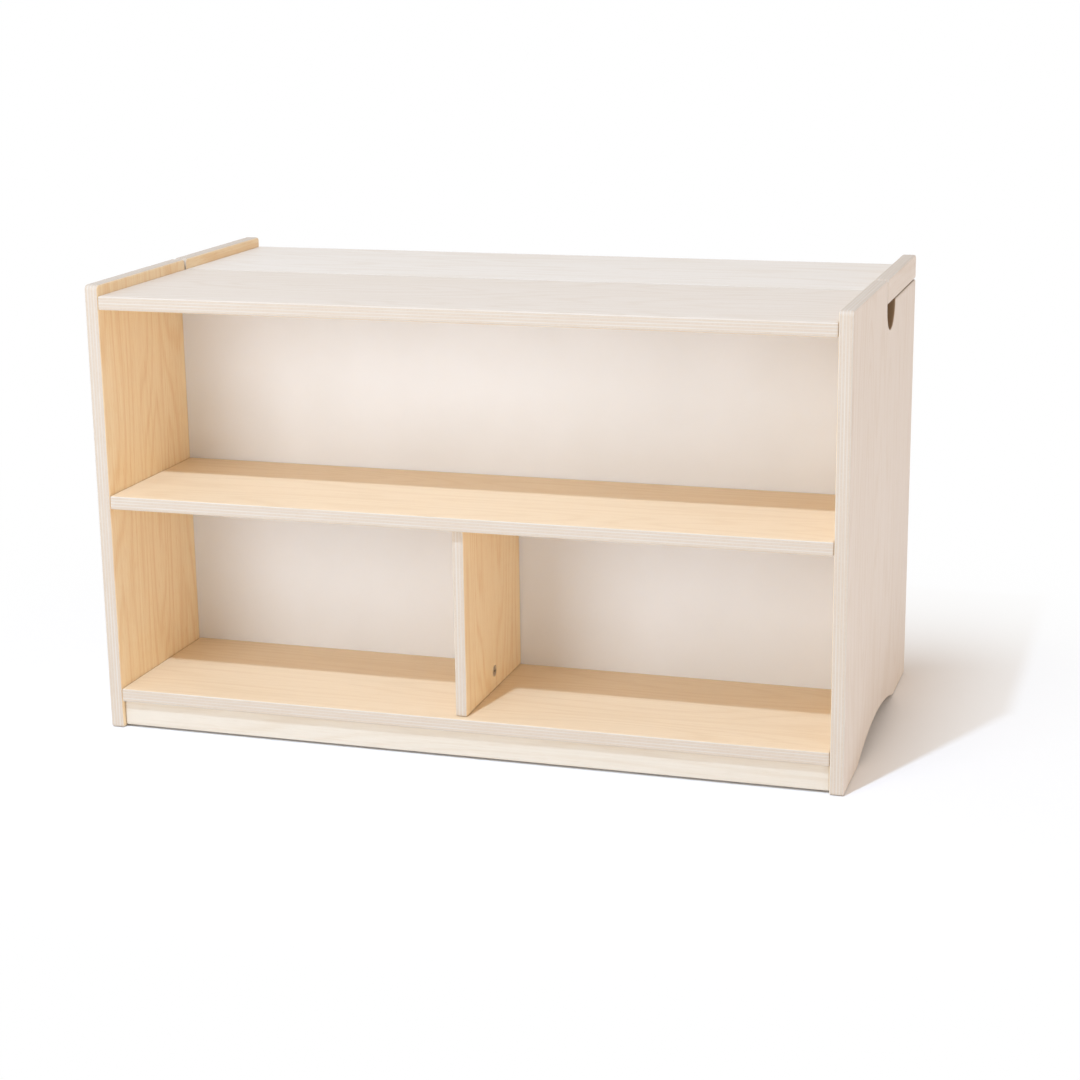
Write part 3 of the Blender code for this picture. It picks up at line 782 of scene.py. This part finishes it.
# Moulded plastic: the fine grain of its mould, and paler spots where it was handled
MOULD_SCALES = (1500, 1500, 1500)
HANDLED_SCALES = (120, 120, 120)
HANDLED_RANGE = (0.4, 0.8)
HANDLED_SHADE = (1.5, 1.5, 1.5)
PLASTIC_ROUGHNESS = 0.46
MOULD_ROUGHNESS = 0.16
MOULD_RELIEF = 0.00006


def moulded(settings):
    """Matt black plastic with a fine spark-eroded grain."""
    material, finish = new_finish("brake_plastic_matt")
    grain = finish.speckle(MOULD_SCALES)
    handled = finish.speckle(HANDLED_SCALES)
    worn = opaque(tinted(settings.brake, HANDLED_SHADE))
    finish.surface({
        "Base Color": finish.mix(handled.smooth(*HANDLED_RANGE), opaque(settings.brake), worn),
        "Roughness": PLASTIC_ROUGHNESS + grain * MOULD_ROUGHNESS,
        "Normal": finish.bump(grain, MOULD_RELIEF),
    })
    return material


# Felt: tangled fibres, with painted shade in the hollows between them
TANGLE_SCALES = (1100, 1100, 1100)
TANGLE_DETAIL = 4
TANGLE_BREAKS = 0.7
TANGLE_RANGE = (0.35, 0.7)
HOLLOW_PAINTED_SHADE = (0.6, 0.58, 0.55)
FELT_ROUGHNESS = 0.95
TANGLE_RELIEF = 0.0002


def felt(settings):
    """Pressed felt with tangled fibres."""
    material, finish = new_finish("felt_pressed")
    tangle = finish.speckle(TANGLE_SCALES, TANGLE_DETAIL, TANGLE_BREAKS)
    # Painted shade: the felt turns darker where the fibres' relief is low
    painted_hollow_shade = opaque(tinted(settings.felt, HOLLOW_PAINTED_SHADE))
    finish.surface({
        "Base Color": finish.mix(tangle.smooth(*TANGLE_RANGE), painted_hollow_shade, opaque(settings.felt)),
        "Roughness": FELT_ROUGHNESS,
        "Normal": finish.bump(tangle, TANGLE_RELIEF),
    })
    return material


class TOYSHELF_OT_boards(Operator):
    """Finish every plywood board, each with its own grain"""

    bl_idname = "toyshelf.boards"
    bl_label = "Plywood boards"

    def execute(self, context):
        settings = context.scene.toyshelf_birch
        for index, name in enumerate(BOARDS):
            dress([name], birch(settings, index, name))
        return {"FINISHED"}


class TOYSHELF_OT_panel(Operator):
    """Finish the white panel behind the shelves"""

    bl_idname = "toyshelf.panel"
    bl_label = "White panel"

    def execute(self, context):
        dress(["center_panel"], white_panel(context.scene.toyshelf_hardware))
        return {"FINISHED"}


def drilled_leaf(node, up, body, material):
    """A hinge leaf with three countersunk holes, and the screws in them."""
    low, high = [Vector(corner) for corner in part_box(node)]
    outward = Vector((0, 0, up))
    place = Vector(((low.x + high.x) / 2, LEAF_MIDDLE, LEAF_SEAT[up]))
    sinks, spots = bmesh.new(), []
    for step in (-1, 0, 1):
        spot = spot_of(place + Vector((step * HINGE_SCREW_STEP, 0, 0)), outward, Vector((1, 0, 0)))
        add_turned(sinks, spot, HINGE_SINK)
        spots.append(spot)
    leaf = carved(f"{node}_drilled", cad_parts[node].data.copy(), sinks)
    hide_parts(node)
    fitted(leaf, body, material)
    screws(f"{node}_screws", body, spots, HINGE_SCREW, HINGE_RECESS, material)


class TOYSHELF_OT_hinges(Operator):
    """Finish the three butt hinges of the lid and drive their screws"""

    bl_idname = "toyshelf.hinges"
    bl_label = "Lid hinges"

    def execute(self, context):
        settings = context.scene.toyshelf_hardware
        nickel = plated("nickel_hinge", settings.nickel, X, HINGE_ROUGHNESS)
        for place in HINGES:
            dress([f"hinge_{place}_pin"], nickel)
            drilled_leaf(f"hinge_{place}_back_leaf", 1, "cabinet", nickel)
            drilled_leaf(f"hinge_{place}_lid_leaf", -1, "lid", nickel)
        return {"FINISHED"}


def stay_screws(side, sign, material):
    """Two pan heads on a stay's base plate and two under its bracket on the lid."""
    inward, down, back = Vector((-sign, 0, 0)), Vector((0, 0, -1)), Vector((0, 1, 0))
    low, high = [Vector(corner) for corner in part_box(f"stay_base_{side}")]
    middle = (low + high) / 2
    face = max(abs(low.x), abs(high.x)) - BASE_PLATE
    spots = []
    for step in (-1, 1):
        place = Vector((sign * face, middle.y, middle.z + step * BASE_SCREW_STEP))
        spots.append(spot_of(place, inward, back))
    screws(f"stay_base_{side}_screws", "cabinet", spots, PAN_SCREW, PAN_RECESS, material)
    low, high = [Vector(corner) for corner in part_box(f"stay_bracket_{side}")]
    spots = []
    for step in (-1, 1):
        y = (low.y + high.y) / 2 + step * BRACKET_SCREW_STEP
        place = Vector((sign * FLANGE_MIDDLE, y, high.z - BRACKET_SHEET))
        spots.append(spot_of(place, down, back))
    screws(f"stay_bracket_{side}_screws", "lid", spots, PAN_SCREW, PAN_RECESS, material)


class TOYSHELF_OT_stays(Operator):
    """Finish the two lid stays and drive their screws"""

    bl_idname = "toyshelf.stays"
    bl_label = "Lid stays"

    def execute(self, context):
        settings = context.scene.toyshelf_hardware
        nickel = plated("nickel_stay", settings.nickel, Z, STAY_ROUGHNESS)
        black = moulded(settings)
        for side, sign in SIDES:
            dress([f"stay_{part}_{side}" for part in ("bracket", "rod", "base")], nickel)
            dress([f"stay_brake_{side}"], black)
            stay_screws(side, sign, nickel)
        return {"FINISHED"}


def slotted_cam(node, material):
    """A cam lock with a softened rim, a cross recess and a mark on the side away from its bolt."""
    low, high = [Vector(corner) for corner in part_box(node)]
    middle = (low + high) / 2
    if node == "divider_cam":
        outward, mark = Vector((1, 0, 0)), Vector((0, 0, 1))
        face = Vector((high.x, middle.y, middle.z))
    else:
        outward, mark = Vector((0, 0, -1)), Vector((-math.copysign(1, middle.x), 0, 0))
        face = Vector((middle.x, middle.y, low.z))
    radius = (high.y - low.y) / 2
    shape = bmesh.new()
    shape.from_mesh(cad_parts[node].data)
    rim = []
    for edge in shape.edges:
        offsets = [corner.co - face for corner in edge.verts]
        flush = all(abs(offset.dot(outward)) < CAM_NEAR for offset in offsets)
        outer = all(offset.length > CAM_RIM_SHARE * radius for offset in offsets)
        if flush and outer:
            rim.append(edge)
    if not rim:
        raise RuntimeError(f"{node} has no rim to soften")
    bmesh.ops.bevel(
        shape, geom=rim, offset=CAM_RIM, segments=CAM_RIM_SEGMENTS, profile=CAM_RIM_ROUNDNESS,
        affect="EDGES",
    )
    spot = spot_of(face, outward, mark)
    reach, half, depth = CAM_RECESS
    cutter = bmesh.new()
    add_cross(cutter, spot, reach, half, -depth, depth)
    add_turned(cutter, spot @ Matrix.Translation((CAM_MARK_PLACE, 0, 0)), CAM_MARK)
    cam = carved(f"{node}_slotted", solid_of(node, shape), cutter)
    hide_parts(node)
    fitted(cam, "cabinet", material)


class TOYSHELF_OT_cam_locks(Operator):
    """Finish the cam locks and their bolts"""

    bl_idname = "toyshelf.cam_locks"
    bl_label = "Cam locks"

    def execute(self, context):
        settings = context.scene.toyshelf_hardware
        zinc = plated("zinc_cast", settings.zinc, Y, CAM_ROUGHNESS)
        dress([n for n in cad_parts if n.endswith("_bolt")], zinc)
        for node in [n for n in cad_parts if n.endswith("_cam")]:
            slotted_cam(node, zinc)
        return {"FINISHED"}


class TOYSHELF_OT_bumpers(Operator):
    """Finish the felt bumpers under the lid"""

    bl_idname = "toyshelf.bumpers"
    bl_label = "Felt bumpers"

    def execute(self, context):
        dress([f"bumper_{side}" for side, _ in SIDES], felt(context.scene.toyshelf_hardware))
        return {"FINISHED"}


# Stage: the floor lies just under the feet, and turns white with the distance from the shelf. The
# sensor's width is in millimetres.
WHITE = (1, 1, 1, 1)
FLOOR_CELLS = 8
FLOOR_DROP = 0.0004
FADE_POWER = 1.25
SENSOR_WIDTH = 36
LAMPS = {"key": "DISK", "fill": "SQUARE", "side": "SQUARE"}


def seen_rays(finish):
    """1 for rays that show the background itself: to the camera, in metal and through glass."""
    rays = finish.node("LightPath").socket.node.outputs
    names = ("Is Camera Ray", "Is Glossy Ray", "Is Transmission Ray")
    camera, glossy, through = [Value(finish, rays[name]) for name in names]
    return (camera + glossy + through).smooth(0.0, 1.0)


def make_floor(settings):
    """A pale floor with the shelf's shadow, which turns white around it."""
    shape = bmesh.new()
    bmesh.ops.create_grid(
        shape, x_segments=FLOOR_CELLS, y_segments=FLOOR_CELLS, size=settings.floor_size,
    )
    floor = linked("floor", mesh_of("floor", shape))
    floor.location.z = -FLOOR_DROP
    material, finish = new_finish("floor_pale")
    x, y, _ = finish.places()
    past_x = abs(x - CAD_MIDDLE.x) - CAD_HALF.x
    past_y = abs(y - CAD_MIDDLE.y) - CAD_HALF.y
    distance = length(past_x * (past_x > 0), past_y * (past_y > 0))
    far = 1 - math.e ** (-1 * (distance * (1 / settings.floor_fade)) ** FADE_POWER)
    paint = finish.node("BsdfDiffuse", sockets={"Color": opaque(settings.floor)})
    white = finish.node("Emission", sockets={"Color": WHITE, "Strength": 1.0})
    shader = finish.node("MixShader", sockets={0: seen_rays(finish) * far, 1: paint, 2: white})
    finish.node("OutputMaterial", sockets={"Surface": shader})
    floor.data.materials.append(material)


def make_world(settings):
    """Even light from all around, in front of a white background."""
    world = bpy.data.worlds.new("studio")
    world.use_nodes = True
    bpy.context.scene.world = world
    finish = Finish(world.node_tree)
    around = {"Color": opaque(settings.ambient_tint), "Strength": settings.ambient}
    light = finish.node("Background", sockets=around)
    white = finish.node("Background", sockets={"Color": WHITE, "Strength": 1.0})
    shader = finish.node("MixShader", sockets={0: seen_rays(finish), 1: light, 2: white})
    finish.node("OutputWorld", sockets={"Surface": shader})


def make_lamp(name, shape, place, size, power, tint):
    """A flat lamp that faces the shelf's middle."""
    lamp = bpy.data.lights.new(name, "AREA")
    lamp.shape = shape
    lamp.size = size
    lamp.energy = power
    lamp.color = tint
    holder = linked(name, lamp)
    holder.location = place
    aim = CAD_MIDDLE - Vector(place)
    holder.rotation_euler = aim.to_track_quat("-Z", "Y").to_euler()
    holder.visible_camera = False


def make_camera(settings):
    """A camera at the photograph's viewing angle."""
    camera = bpy.data.cameras.new("camera")
    camera.sensor_width = SENSOR_WIDTH
    camera.lens = settings.lens
    holder = linked("camera", camera)
    turn, tilt, roll = settings.azimuth, settings.elevation, settings.roll
    ahead = Vector((-math.sin(turn), math.cos(turn), 0))
    right = Vector((math.cos(turn), math.sin(turn), 0))
    forward = ahead * math.cos(tilt) - Vector((0, 0, math.sin(tilt)))
    up = right.cross(forward)
    rolled_right = right * math.cos(roll) + up * math.sin(roll)
    rolled_up = up * math.cos(roll) - right * math.sin(roll)
    axes = Matrix((rolled_right, rolled_up, -forward)).transposed().to_4x4()
    holder.matrix_world = Matrix.Translation(settings.camera_place) @ axes
    bpy.context.scene.camera = holder


class TOYSHELF_OT_stage(Operator):
    """Set up the floor, the light and the camera"""

    bl_idname = "toyshelf.stage"
    bl_label = "Stage"

    def execute(self, context):
        settings = context.scene.toyshelf_stage
        make_floor(settings)
        make_world(settings)
        for name, shape in LAMPS.items():
            values = [getattr(settings, f"{name}_{part}") for part in ("place", "size", "power", "tint")]
            make_lamp(name, shape, *values)
        make_camera(settings)
        context.scene.view_settings.view_transform = "Standard"
        return {"FINISHED"}


OPERATORS = (
    TOYSHELF_OT_boards,
    TOYSHELF_OT_panel,
    TOYSHELF_OT_hinges,
    TOYSHELF_OT_stays,
    TOYSHELF_OT_cam_locks,
    TOYSHELF_OT_bumpers,
    TOYSHELF_OT_stage,
)
SETTINGS = {
    "toyshelf_birch": BirchSettings,
    "toyshelf_hardware": HardwareSettings,
    "toyshelf_stage": StageSettings,
}


class TOYSHELF_PT_sidebar(Panel):
    """Lists the settings and the steps that dress the toy shelf"""

    bl_label = "Toy shelf"
    bl_space_type = "VIEW_3D"
    bl_region_type = "UI"
    bl_category = "Toy shelf"

    def draw(self, context):
        for name, group in SETTINGS.items():
            box = self.layout.box()
            for key in group.__annotations__:
                box.prop(getattr(context.scene, name), key)
        for operator in OPERATORS:
            self.layout.operator(operator.bl_idname)


CLASSES = (*SETTINGS.values(), *OPERATORS, TOYSHELF_PT_sidebar)


def register():
    """Makes the settings, the operators and the panel known."""
    for cls in CLASSES:
        bpy.utils.register_class(cls)
    for name, group in SETTINGS.items():
        setattr(bpy.types.Scene, name, PointerProperty(type=group))


def unregister():
    """Takes them all away again."""
    for name in SETTINGS:
        delattr(bpy.types.Scene, name)
    for cls in reversed(CLASSES):
        bpy.utils.unregister_class(cls)


def main():
    register()
    for operator in OPERATORS:
        group, step = operator.bl_idname.split(".")
        getattr(getattr(bpy.ops, group), step)()


if __name__ == "__main__":
    main()
